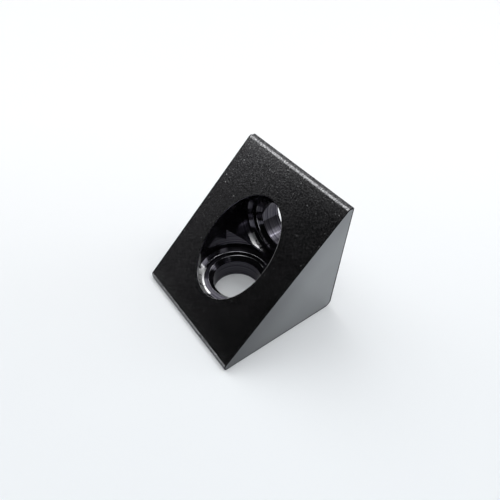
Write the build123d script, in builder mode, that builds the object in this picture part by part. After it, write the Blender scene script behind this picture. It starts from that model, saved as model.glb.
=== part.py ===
"""Corner bracket for slotted extrusion: one solid wedge, cut from an extruded bar and drilled.

Two seating faces meet at a right angle along the heel, and a slope joins their blunt noses.
A counterbored screw hole goes through each leg. Both recesses are bored from the slope, square
to their own seating face, and their axes cross on it, so they open in one oval mouth.

The origin is on the base hole's axis in the base seating face. +Z is up that axis, +Y is towards
the back seating face, and X is along the width.
"""

from build123d import *

import os

# The wedge, in millimetres
width = 20.0  # length of bar that is sawn off, the size of the profile it is fixed to
leg = 20.0  # heel to the point where the slope would meet a seating face if it ran on
nose_land = 0.9  # flat end of each leg, square to its seating face
nose_radius = 0.6  # round between a nose land and the slope
heel_radius = 1.0  # round along the heel, clear of the corner between the two profiles
edge_break = 0.15  # edges of the two sawn ends

# The screw holes, alike in both legs
hole_offset = 10.0  # hole axis to the seating face of the other leg
seat_thickness = 3.6  # wall that is left under the screw head
hole_diameter = 7.2  # loose clearance for an M6 screw
hole_chamfer = 0.65  # lead-in from the head's seat into the hole
recess_diameter = 11.3  # clearance for the head of the screw
recess_shift = 0.15  # how far the recess axes run beside the hole axes, down the slope
recess_corner = 0.3  # blunt corner of the boring tool, between recess wall and seat
cutter_overrun = 2.0  # travel of a cutting tool past the face that it leaves

leg_reach = leg - nose_land
back_face_y = hole_offset
recess_radius = recess_diameter / 2
hole_radius = hole_diameter / 2

# What the drill and its countersink take away, revolved about the hole's axis
with BuildPart() as hole_cutter:
    with BuildSketch(Plane.XZ):
        with BuildLine():
            Polyline(
                (0, -cutter_overrun),
                (hole_radius, -cutter_overrun),
                (hole_radius, seat_thickness - hole_chamfer),
                (hole_radius + hole_chamfer, seat_thickness),
                (0, seat_thickness),
                close=True,
            )
        make_face()
    revolve(axis=Axis.Z)

# What the boring tool takes away, from the seat of the screw's head out past the slope
with BuildPart() as recess_cutter:
    with BuildSketch(Plane.XZ):
        with BuildLine():
            cutter_top = leg + cutter_overrun
            Polyline(
                (0, seat_thickness),
                (recess_radius - recess_corner, seat_thickness),
                (recess_radius, seat_thickness + recess_corner),
                (recess_radius, cutter_top),
                (0, cutter_top),
                close=True,
            )
        make_face()
    revolve(axis=Axis.Z)

# Each leg is bored square to its own seating face, at the same distance from the other one
base_hole = Plane.XY
back_hole = Plane(origin=(0, back_face_y, hole_offset), z_dir=(0, -1, 0))
base_recess = Plane(origin=(0, -recess_shift, 0))
back_recess = Plane(origin=(0, back_face_y, hole_offset - recess_shift), z_dir=(0, -1, 0))

with BuildPart() as corner_bracket:
    # The bar's section: two seating faces, a rounded heel, and a slope between rounded noses
    with BuildSketch(Plane.YZ.offset(-width / 2)) as bar_section:
        with BuildLine():
            heel = (back_face_y, 0)
            back_top = (back_face_y, leg_reach)
            back_nose = (back_face_y - nose_land, leg_reach)
            base_nose = (back_face_y - leg_reach, nose_land)
            base_tip = (back_face_y - leg_reach, 0)
            Polyline(heel, back_top, back_nose, base_nose, base_tip, close=True)
        make_face()
        corners = bar_section.vertices()
        noses = [corners.sort_by_distance(place)[0] for place in (back_nose, base_nose)]
        fillet(noses, nose_radius)
        fillet(bar_section.vertices().sort_by_distance(heel)[0], heel_radius)
    extrude(amount=width)
    sawn_ends = corner_bracket.faces().filter_by(Axis.X)
    chamfer(sawn_ends.edges(), edge_break)
    with Locations(base_hole, back_hole):
        add(hole_cutter.part, mode=Mode.SUBTRACT)
    with Locations(base_recess, back_recess):
        add(recess_cutter.part, mode=Mode.SUBTRACT)

corner_bracket.part.label = "corner_bracket"

os.makedirs("parts", exist_ok=True)
export_step(corner_bracket.part, "parts/corner_bracket.step")

box = corner_bracket.part.bounding_box()
print(f"corner_bracket: {box.size.X:.2f} x {box.size.Y:.2f} x {box.size.Z:.2f} mm")
print(f"volume {corner_bracket.part.volume:.1f} mm3, solids {len(corner_bracket.solids())}")
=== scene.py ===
import math

import bmesh
import bpy
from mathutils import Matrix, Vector


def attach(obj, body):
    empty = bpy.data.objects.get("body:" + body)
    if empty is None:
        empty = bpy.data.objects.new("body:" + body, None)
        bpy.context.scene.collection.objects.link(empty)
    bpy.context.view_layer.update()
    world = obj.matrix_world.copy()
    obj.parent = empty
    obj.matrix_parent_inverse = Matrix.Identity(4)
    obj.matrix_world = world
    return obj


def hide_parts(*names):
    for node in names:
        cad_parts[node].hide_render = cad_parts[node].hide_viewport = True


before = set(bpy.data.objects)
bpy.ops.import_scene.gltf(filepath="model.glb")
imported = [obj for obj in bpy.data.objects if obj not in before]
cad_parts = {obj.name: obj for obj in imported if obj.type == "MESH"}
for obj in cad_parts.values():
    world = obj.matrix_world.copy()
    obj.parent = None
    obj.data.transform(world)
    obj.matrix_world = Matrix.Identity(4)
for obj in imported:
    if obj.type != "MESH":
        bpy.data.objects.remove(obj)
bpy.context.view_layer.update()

# ---------------------------------------------------------------------------------------
# The wedge. A 20 mm length sawn off an extruded aluminium bar: two seating faces square to
# each other, a slope over them, blunt noses. Blasted before it is anodised black, so the
# skin that the die left is an even, fine-grained matt; the two sawn ends are smoother.

mm = 0.001
width = 20.0 * mm  # length of bar
leg = 20.0 * mm  # heel to the point where slope and seating face would meet
nose_land = 0.9 * mm  # blunt end of each leg
nose_radius = 0.6 * mm  # round between nose and slope
heel_radius = 1.0 * mm  # round along the heel
arris_radius = 0.18 * mm  # outer corners of the noses, rounder than the sawn edges
sawn_break = 0.15 * mm  # edges of the sawn ends, broken in the tumbler
back_face = 10.0 * mm  # the back seating face; the base one is at zero height


class Wire:
    """One socket of a node tree. Sums written with wires put the tree's Math nodes in."""

    def __init__(self, tree, socket=None):
        self.tree, self.socket = tree, socket

    def node(self, kind, settings=None, sockets=None, out=0):
        """Any node: its type, then its settings, then the values or wires of its sockets."""
        made = self.tree.nodes.new(kind)
        for name, value in (settings or {}).items():
            if name == "items":
                while len(made.index_switch_items) < value:
                    made.index_switch_items.new()
            else:
                setattr(made, name, value)
        for name, value in (sockets or {}).items():
            if isinstance(value, Wire):
                self.tree.links.new(value.socket, made.inputs[name])
            else:
                made.inputs[name].default_value = value
        return Wire(self.tree, made.outputs[out] if len(made.outputs) else None)

    def noise(self, scale, detail=2.0):
        """Soft noise at this place, its patches about one over the scale in metres."""
        return self.node("ShaderNodeTexNoise", {}, {
            "Vector": self, "Scale": scale, "Detail": detail})

    def cells(self, scale):
        """Distance from the nearest of many scattered points, as a share of their spacing."""
        return self.node("ShaderNodeTexVoronoi", {}, {"Vector": self, "Scale": scale})

    def apart(self):
        """The three parts of a vector."""
        parts = self.node("ShaderNodeSeparateXYZ", {}, {"Vector": self}).socket.node.outputs
        return [Wire(self.tree, part) for part in parts]

    def sum(self, operation, *terms):
        """One Math node on these terms."""
        return self.node("ShaderNodeMath", {"operation": operation}, dict(enumerate(terms)))

    def between(self, low, high, here=0.0, there=1.0):
        """Goes softly from one level to another while this wire goes from low to high."""
        return self.node("ShaderNodeMapRange", {"interpolation_type": "SMOOTHSTEP"}, {
            "Value": self, "From Min": low, "From Max": high, "To Min": here, "To Max": there})

    def blend(self, none, full):
        """The first colour where this wire is 0, the second where it is 1."""
        pair = [shade if isinstance(shade, Wire) else (*shade, 1) for shade in (none, full)]
        return self.node("ShaderNodeMix", {"data_type": "RGBA"}, {
            "Factor": self, 6: pair[0], 7: pair[1]}, out=2)

    def __add__(self, other):
        return self.sum("ADD", self, other)

    def __sub__(self, other):
        return self.sum("SUBTRACT", self, other)

    def __rsub__(self, other):
        return self.sum("SUBTRACT", other, self)

    def __mul__(self, other):
        return self.sum("MULTIPLY", self, other)

    def __truediv__(self, other):
        return self.sum("DIVIDE", self, other)

    def __pow__(self, other):
        return self.sum("POWER", self, other)

    def __gt__(self, other):
        return self.sum("GREATER_THAN", self, other)

    def __abs__(self):
        return self.sum("ABSOLUTE", self)

    __radd__, __rmul__ = __add__, __mul__


def new_finish(name):
    """A material with an empty tree, and the place on the object that its nodes start from."""
    finish = bpy.data.materials.new(name)
    finish.use_nodes = True
    finish.node_tree.nodes.clear()
    return finish, Wire(finish.node_tree).node("ShaderNodeTexCoord", out="Object")


def anodised(colour, roughness, relief, strength, depth, metal=1.0):
    """The dyed oxide on aluminium, the same coat over every surface, with a relief so deep."""
    bump = relief.node("ShaderNodeBump", {}, {
        "Height": relief, "Strength": strength, "Distance": depth})
    coat = relief.node("ShaderNodeBsdfPrincipled", {}, {
        "Base Color": colour, "Metallic": metal, "Specular Tint": (0.6, 0.6, 0.6, 1),
        "Roughness": roughness, "Normal": bump})
    relief.node("ShaderNodeOutputMaterial", {}, {"Surface": coat})


# Blasted skin: dark grain with small pale specks in it that are painted glints, a few other pale
# specks, a worn line where the slope turns into the noses that is also a painted highlight, and
# a painted dark line of shade on every sharp edge.
skin, place = new_finish("blasted_skin")
across, depth, height = place.apart()
grain, cloud = place.noise(4800.0), place.noise(260.0, 3.0)
painted_glints, pale_specks = place.cells(4200.0), place.cells(900.0)
along = abs((depth + height - leg / 2) * math.sqrt(0.5))  # from the middle of the slope
worn_and_highlight = along.between(12.3 * mm, 12.75 * mm) * along.between(13.15 * mm, 13.0 * mm)
# Painted shade: a dark line along the outer edges of the noses and beside the sawn ends.
edge = place.sum("MAXIMUM", along.between(13.32 * mm, 13.40 * mm),
                 abs(across).between(width / 2 - 0.22 * mm, width / 2 - 0.12 * mm))
tone = grain.between(0.38, 0.62).blend((0.038, 0.038, 0.041), (0.190, 0.188, 0.194))
# Painted glints: small pale specks scattered through the grain.
tone = (painted_glints.between(0.28, 0.10) * grain).blend(tone, (0.75, 0.75, 0.75))
# A little lighter over the last two millimetres of the slope before each nose.
tone = (0.10 * along.between(10.4 * mm, 12.2 * mm)).blend(tone, (0.50, 0.50, 0.50))
# Worn line on each nose round, also brightened with speckled glints as a painted highlight.
tone = (worn_and_highlight * painted_glints.between(0.60, 0.25, 0.0, 0.9)).blend(tone, (0.36, 0.36, 0.36))
# A few scattered pale specks.
tone = pale_specks.between(0.10, 0.06).blend(tone, (0.85, 0.85, 0.85))
tone = edge.blend(tone, (0.014, 0.014, 0.015))
anodised(tone, 0.19 + 0.08 * cloud + 0.2 * edge, grain, 0.7, 0.017 * mm)

# Sawn ends: a greyer satin, painted palest at the heel as painted light, mottled at random, with a
# painted dark band of shade along the seating faces.
sawn, place = new_finish("sawn_end")
across, depth, height = place.apart()
grain, cloud = place.noise(5200.0), place.noise(200.0)
below_slope = depth + leg / 2 - height
# Painted light: lighter towards the heel and away from the slope, with random mottling.
painted_light_and_mottle = (0.55 * depth.between(-9.0 * mm, 6.0 * mm) + 0.30 * below_slope.between(0.0, 7.0 * mm)
        + 0.30 * cloud)
# Painted shade: a dark band along the edges next to the seating faces and round the heel.
past_back = place.sum("MAXIMUM", depth - (back_face - heel_radius), 0.0)
past_base = place.sum("MAXIMUM", heel_radius - height, 0.0)
painted_seating_edge_shade = ((past_back * past_back + past_base * past_base) ** 0.5).between(
    heel_radius - 0.30 * mm, heel_radius - 0.24 * mm)
tone = painted_light_and_mottle.blend((0.150, 0.154, 0.160), (0.325, 0.335, 0.345))
tone = painted_seating_edge_shade.blend(tone, (0.050, 0.052, 0.055))
anodised(tone, 0.30 + 0.06 * cloud, grain, 0.3, 0.01 * mm)


def rounded(corner, before, after, radius, steps):
    """The round that takes the place of a corner, as points from the first run to the next."""
    back, ahead = (before - corner).normalized(), (after - corner).normalized()
    half = back.angle(ahead) / 2
    middle = corner + (back + ahead).normalized() * radius / math.sin(half)
    first = corner + back * radius / math.tan(half) - middle
    last = corner + ahead * radius / math.tan(half) - middle
    turn = first.angle(last)
    return [middle + (first * math.sin(turn * (1 - k / steps)) + last * math.sin(turn * k / steps))
            / math.sin(turn) for k in range(steps + 1)]


reach = leg - nose_land
section_corners = [  # depth, height, radius of the round, steps in it
    (back_face, 0.0, heel_radius, 12),
    (back_face, reach, arris_radius, 4),
    (back_face - nose_land, reach, nose_radius, 8),
    (back_face - reach, nose_land, nose_radius, 8),
    (back_face - reach, 0.0, arris_radius, 4),
]
corners = [Vector((0, depth, height)) for depth, height, _, _ in section_corners]
section = []
for k, (_, _, radius, steps) in enumerate(section_corners):
    section += rounded(corners[k], corners[k - 1], corners[(k + 1) % 5], radius, steps)

SKIN, SAWN, BORED, RIM = range(4)  # the body's material slots
wedge = bmesh.new()
left = [wedge.verts.new(point - Vector((width / 2, 0, 0))) for point in section]
right = [wedge.verts.new(point + Vector((width / 2, 0, 0))) for point in section]
ends = [wedge.faces.new(left[::-1]), wedge.faces.new(right)]
for k in range(len(section)):
    wedge.faces.new((left[k - 1], left[k], right[k], right[k - 1]))
for end in ends:
    end.material_index = SAWN
bmesh.ops.bevel(wedge, geom=[e for end in ends for e in end.edges], offset=sawn_break,
                segments=3, profile=0.5, affect="EDGES", material=SKIN)
bmesh.ops.recalc_face_normals(wedge, faces=wedge.faces)

# ---------------------------------------------------------------------------------------
# The two screw holes. Each is drilled square to its own seating face and counterbored from
# the slope for the head of the screw, then the seat is chamfered. Their axes cross on the
# slope, so the recesses run into each other along a mitre and share one oval mouth.

hole_radius = 3.6 * mm
seat_height = 3.6 * mm  # wall left under the screw head
recess_radius = 5.65 * mm
recess_shift = 0.15 * mm  # recess axis beside the hole axis, down the slope, in each leg
corner_flat = 0.55 * mm  # left by the tool's blunt corner between recess wall and seat
lead_in = 0.65 * mm  # chamfer from seat to hole
axis_height = 10.0 * mm  # from each seating face to the other hole's axis
mouth_break = 0.1 * mm  # edge of the mouth, rubbed down
turns = 256  # facets round a bore

# Turned walls: glossy, finely ringed and darker, with painted highlights as pale lines on the
# edges of the chamfer and the seat. Low on the left, where the wall runs out, and beside the
# mitre, the wall is painted pale as a painted reflection.
bored, place = new_finish("bored_wall")
across, depth, height = place.apart()
in_back = depth + height > axis_height  # 1 in the back leg's bore, 0 in the base's
rise = height + in_back * (axis_height - depth - height)  # from the leg's own seating face
aside = depth + in_back * (height - axis_height - depth)  # from the hole's own axis


def out_from(axis_shift):
    """Distance from an axis that runs so far down the slope from the hole's own."""
    return (across * across + (aside + axis_shift) * (aside + axis_shift)) ** 0.5


out = out_from(recess_shift)
rings = place.node("ShaderNodeTexNoise", {"noise_dimensions": "1D"}, {
    "W": out + rise, "Scale": 4000.0, "Detail": 2.0})
cloud = place.noise(1200.0)
chamfer_end = hole_radius + lead_in + seat_height
# Painted highlight: a pale line on the outer edge of the chamfer.
lead_edge_highlight = abs(out_from(0.0) + rise - chamfer_end).between(0.06 * mm, 0.02 * mm)
seat_end = recess_radius - corner_flat + seat_height
# Painted highlight: a pale line on the outer edge of the seat.
seat_edge_highlight = abs(out + rise - seat_end).between(0.045 * mm, 0.015 * mm)
low_left = (-0.44 * across - 0.90 * aside) / out  # 1 where a recess is lowest and leftmost
at_mouth = low_left.between(0.87, 0.91) * out.between(4.75 * mm, 4.85 * mm) * (1 - in_back)
at_mitre = (across.between(-4.4 * mm, -4.0 * mm) * across.between(-0.9 * mm, -1.3 * mm)
            * rise.between(3.95 * mm, 4.05 * mm) * rise.between(5.1 * mm, 4.9 * mm) * in_back
            * aside.between(-3.2 * mm, -3.7 * mm))
# Painted reflections: pale patches low on the left of the base recess, and on the back recess
# beside the mitre.
painted_reflections = (at_mouth + at_mitre) * cloud.between(0.34, 0.48)
tone = rings.between(0.40, 0.60).blend((0.030, 0.028, 0.038), (0.092, 0.089, 0.102))
tone = ((lead_edge_highlight + seat_edge_highlight) * cloud).blend(tone, (0.60, 0.60, 0.61))
tone = painted_reflections.blend(tone, (0.92, 0.92, 0.92))
anodised(tone, 0.07 + 0.06 * rings + 0.25 * painted_reflections, rings, 0.25, 0.01 * mm, 0.93)

# The mouth's edge, painted bright as a highlight, most on the right and below.
rim, place = new_finish("thin_rim")
across, depth, _ = place.apart()
cloud = place.noise(1500.0)
# Painted highlight along the mouth's edge, strongest on the right and below.
rim_highlight = (across - 0.5 * depth).between(-3.0 * mm, 2.5 * mm) * (0.5 + 0.8 * cloud)
tone = rim_highlight.blend((0.080, 0.077, 0.098), (0.80, 0.80, 0.81))
anodised(tone, 0.22 + 0.1 * cloud, cloud, 0.2, 0.02 * mm)

# Each bore is a sheet, rolled into a tube and stepped in and out row by row, up to the mitre.
recess_tree = bpy.data.node_groups.new("counterbored_pair", "GeometryNodeTree")
recess_tree.interface.new_socket("Geometry", in_out="OUTPUT", socket_type="NodeSocketGeometry")
recess_sizes = {
    "Hole Radius": hole_radius, "Seat Height": seat_height, "Recess Radius": recess_radius,
    "Recess Shift": recess_shift, "Corner Flat": corner_flat, "Lead In": lead_in,
    "Axis Height": axis_height}
identifiers = {name: recess_tree.interface.new_socket(
    name, in_out="INPUT", socket_type="NodeSocketFloat").identifier for name in recess_sizes}
bench = Wire(recess_tree)
inlet = recess_tree.nodes.new("NodeGroupInput")
hole, seat, recess, shift, corner, lead, axis = (
    Wire(recess_tree, inlet.outputs[name]) for name in recess_sizes)

sheet = bench.node("GeometryNodeMeshGrid", {}, {
    "Size X": 1.0, "Size Y": 1.0, "Vertices X": turns + 1, "Vertices Y": 2})
round_sheet, up_sheet, _ = bench.node("GeometryNodeInputPosition").apart()
angle = (round_sheet + 0.5) * (2 * math.pi)
sine, cosine = bench.sum("SINE", angle), bench.sum("COSINE", angle)


def bored_with(shift):
    """One counterbored hole about Z, its recess set off by the shift against Y."""
    eased = ((-0.09, -0.09), (-0.04, -0.04), (0.02, 0.0), (0.07, 0.0))  # chamfer's edge, in mm
    blunt = ((1.12, 0.0), (1.0, 0.03), (0.91, 0.09), (0.0, 1.0))  # shares of the corner flat
    rows = [  # radius, offset of the axis, height
        (hole, 0.0, 0.0),
        (hole, 0.0, seat - lead),
        *((hole + lead + aside * mm, 0.0, seat + up * mm) for aside, up in eased),
        *((recess - corner * inward, -1 * shift, seat + corner * up) for inward, up in blunt),
        (recess, -1 * shift, axis - shift - abs(recess * sine)),  # the mitre
    ]
    sheet.socket.node.inputs["Vertices Y"].default_value = len(rows)
    row = bench.sum("ROUND", (up_sheet + 0.5) * (len(rows) - 1))
    radius, offset, height = (bench.node(
        "GeometryNodeIndexSwitch", {"data_type": "FLOAT", "items": len(rows)},
        {"Index": row, **dict(enumerate(values, start=1))}) for values in zip(*rows))
    spot = bench.node("ShaderNodeCombineXYZ", {}, {
        "X": radius * cosine, "Y": radius * sine + offset, "Z": height})
    return bench.node("GeometryNodeSetPosition", {}, {"Geometry": sheet, "Position": spot})


base_bore = bored_with(shift)
swing = bench.node("ShaderNodeCombineXYZ", {}, {"X": 0.0, "Y": axis, "Z": axis})
back_bore = bench.node("GeometryNodeTransform", {}, {
    "Geometry": bored_with(-1 * shift), "Translation": swing,
    "Rotation": (-math.pi / 2, 0, math.pi)})
both = bench.node("GeometryNodeJoinGeometry", {}, {"Geometry": base_bore})
recess_tree.links.new(back_bore.socket, both.socket.node.inputs["Geometry"])
sewn = bench.node("GeometryNodeMergeByDistance", {}, {"Geometry": both, "Distance": 0.001 * mm})
plain = bench.node("GeometryNodeRealizeInstances", {}, {"Geometry": sewn})
finished = bench.node("GeometryNodeSetMaterial", {}, {"Geometry": plain, "Material": bored})
bench.node("NodeGroupOutput", {}, {"Geometry": finished})

bores = bpy.data.objects.new("bores", bpy.data.meshes.new("bores"))
bpy.context.scene.collection.objects.link(bores)
boring = bores.modifiers.new("boring", "NODES")
boring.node_group = recess_tree
for name, size in recess_sizes.items():
    boring[identifiers[name]] = size
bores.update_tag()
evaluated = bores.evaluated_get(bpy.context.evaluated_depsgraph_get())
bored_mesh = bpy.data.meshes.new_from_object(evaluated)
bpy.data.objects.remove(bores)

# The three faces that the cutters leave by are opened, and filled again round the bores.
touching = 0.002 * mm
slope = Vector((0, -1, 1)).normalized()
drilled = [  # way a face looks, its distance from the origin
    (Vector((0, 0, -1)), 0.0), (Vector((0, 1, 0)), back_face), (slope, axis_height * slope.z)]
for way, _ in drilled:
    face = max((f for f in wedge.faces if f.normal.dot(way) > 0.9999),
               key=lambda f: f.calc_area())
    bmesh.ops.delete(wedge, geom=[face], context="FACES_ONLY")
bored_mesh.polygons.foreach_set("material_index", [BORED] * len(bored_mesh.polygons))
wedge.from_mesh(bored_mesh)
bpy.data.meshes.remove(bored_mesh)


def lies_in(edge, way, distance):
    """True for an edge in the plane that looks this way at this distance."""
    return all(abs(vert.co.dot(way) - distance) < touching for vert in edge.verts)


open_edges = [edge for edge in wedge.edges if edge.is_boundary]
for way, distance in drilled:
    loop = [edge for edge in open_edges if lies_in(edge, way, distance)]
    bmesh.ops.triangle_fill(wedge, edges=loop, use_beauty=True, use_dissolve=False, normal=way)
bmesh.ops.recalc_face_normals(wedge, faces=wedge.faces)

mouth = [edge for edge in wedge.edges if lies_in(edge, *drilled[2])
         and {BORED, SKIN} <= {face.material_index for face in edge.link_faces}]
bmesh.ops.bevel(wedge, geom=mouth, offset=mouth_break, segments=3, profile=0.5, affect="EDGES",
                material=RIM, loop_slide=True)
bmesh.ops.recalc_face_normals(wedge, faces=wedge.faces)

body_mesh = bpy.data.meshes.new("bracket_body")
wedge.to_mesh(body_mesh)
wedge.free()
for finish in (skin, sawn, bored, rim):
    body_mesh.materials.append(finish)
body_mesh.shade_smooth()
body_mesh.set_sharp_from_angle(angle=math.radians(25))

# Flat faces keep their own normals to the edge, and the rounds beside them turn into them.
flats = [slope, *map(Vector, (
    (1, 0, 0), (-1, 0, 0), (0, 1, 0), (0, -1, 0), (0, 0, 1), (0, 0, -1)))]
flat_at = {}
for face in body_mesh.polygons:
    face.use_smooth = face.material_index != SAWN
    for way in flats:
        if face.normal.dot(way) > 0.99999:
            for k in face.vertices:
                flat_at.setdefault(k, []).append(way)
bent = []
for face in body_mesh.polygons:
    for k in face.vertices:
        way = max(flat_at.get(k, []), key=face.normal.dot, default=None)
        kept = way and face.use_smooth and face.normal.dot(way) > 0.9
        bent.append(way if kept else (0, 0, 0))
body_mesh.normals_split_custom_set(bent)
bracket = bpy.data.objects.new("bracket_body", body_mesh)
bpy.context.scene.collection.objects.link(bracket)
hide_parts("corner_bracket")
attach(bracket, "root")

# ---------------------------------------------------------------------------------------
# The table it stands on: a sheet of white card, flat and matt, without an edge in sight. It is
# painted lighter towards its far end as painted light.

card, place = new_finish("white_card")
across, depth, _ = place.apart()
# Painted light: the card is lighter towards its far end.
far = (0.6 * depth - 0.8 * across + 0.01 * place.noise(14.0)).between(-0.03, 0.06)
tone = far.blend((0.835, 0.860, 0.880), (0.975, 0.980, 0.985))
paper = place.node("ShaderNodeBsdfPrincipled", {}, {"Base Color": tone, "Roughness": 0.7})
place.node("ShaderNodeOutputMaterial", {}, {"Surface": paper})

card_edge, card_top = 2.0, -0.02 * mm  # half its side; just clear of the base seating face
card_mesh = bpy.data.meshes.new("floor")
card_mesh.from_pydata([(across * card_edge, deep * card_edge, card_top)
                       for across, deep in ((-1, -1), (1, -1), (1, 1), (-1, 1))],
                      [], [(0, 1, 2, 3)])
card_mesh.materials.append(card)
floor = bpy.data.objects.new("floor", card_mesh)
bpy.context.scene.collection.objects.link(floor)

# ---------------------------------------------------------------------------------------
# Light. A plain pale room, given by direction: a light overhead, two windows, a low lamp on the
# far side and a glow along the near skirting. It is dark in the doorway that the slope faces.
# One small lamp above the far side sharpens the shadow.

room = bpy.data.worlds.new("room")
room.use_nodes = True
room.node_tree.nodes.clear()
look = Wire(room.node_tree).node("ShaderNodeTexCoord", out="Generated")


def toward(look, turn, rise, near, far, here, away):
    """Brightness that goes from one level at a direction, in degrees, to another away from it."""
    turn, rise = math.radians(turn), math.radians(rise)
    way = (math.cos(turn) * math.cos(rise), math.sin(turn) * math.cos(rise), math.sin(rise))
    facing = look.node("ShaderNodeVectorMath", {"operation": "DOT_PRODUCT"}, {
        0: look, 1: way}, out="Value")
    return facing.between(math.cos(math.radians(far)), math.cos(math.radians(near)), away, here)


lights = (toward(look, 0, 90, 8, 85, 0.60, 0.23)  # ceiling, fading down the walls
          + toward(look, 322, 74, 6, 21, 2.4, 0.0)  # overhead
          + toward(look, 180, 52, 12, 38, 1.55, 0.0)  # window on the left
          + toward(look, 75, 54, 10, 28, 1.7, 0.0)  # window on the far side
          + toward(look, 65, 20, 7, 18, 1.6, 0.0))  # low lamp
skirting = toward(look, 222, 8, 4, 20, 0.11, 0.0)
level = look.node("ShaderNodeVectorMath", {"operation": "MULTIPLY"}, {0: look, 1: (1, 1, 0)})
level = look.node("ShaderNodeVectorMath", {"operation": "NORMALIZE"}, {0: level})
doorway = toward(level, 290, 0, 60, 74, 1.0, 0.0) * toward(look, 0, 90, 28, 42, 0.0, 1.0)
glow = look.node("ShaderNodeBackground", {}, {
    "Color": (0.98, 0.99, 1.0, 1), "Strength": lights * (1 - 0.98 * doorway) + skirting})
look.node("ShaderNodeOutputWorld", {}, {"Surface": glow})
bpy.context.scene.world = room

far_lamp = bpy.data.lights.new("far_lamp", "AREA")
far_lamp.shape, far_lamp.size, far_lamp.energy = "DISK", 0.06, 0.06
lamp = bpy.data.objects.new("far_lamp", far_lamp)
bpy.context.scene.collection.objects.link(lamp)
lamp.location = (0.055, 0.135, 0.28)
lamp.rotation_euler = (-lamp.location).to_track_quat("-Z", "Y").to_euler()

# ---------------------------------------------------------------------------------------
# The camera, held close above the table in front of the slope, on its right.

view = bpy.data.cameras.new("camera")
view.sensor_width, view.lens, view.clip_start = 36.0, 32.59, 1.0 * mm
camera = bpy.data.objects.new("camera", view)
bpy.context.scene.collection.objects.link(camera)
camera.location = (34.98 * mm, -25.90 * mm, 54.42 * mm)
camera.rotation_euler = [math.radians(turn) for turn in (43.915, -1.915, 53.287)]
bpy.context.scene.camera = camera
bpy.context.scene.view_settings.view_transform = "Standard"
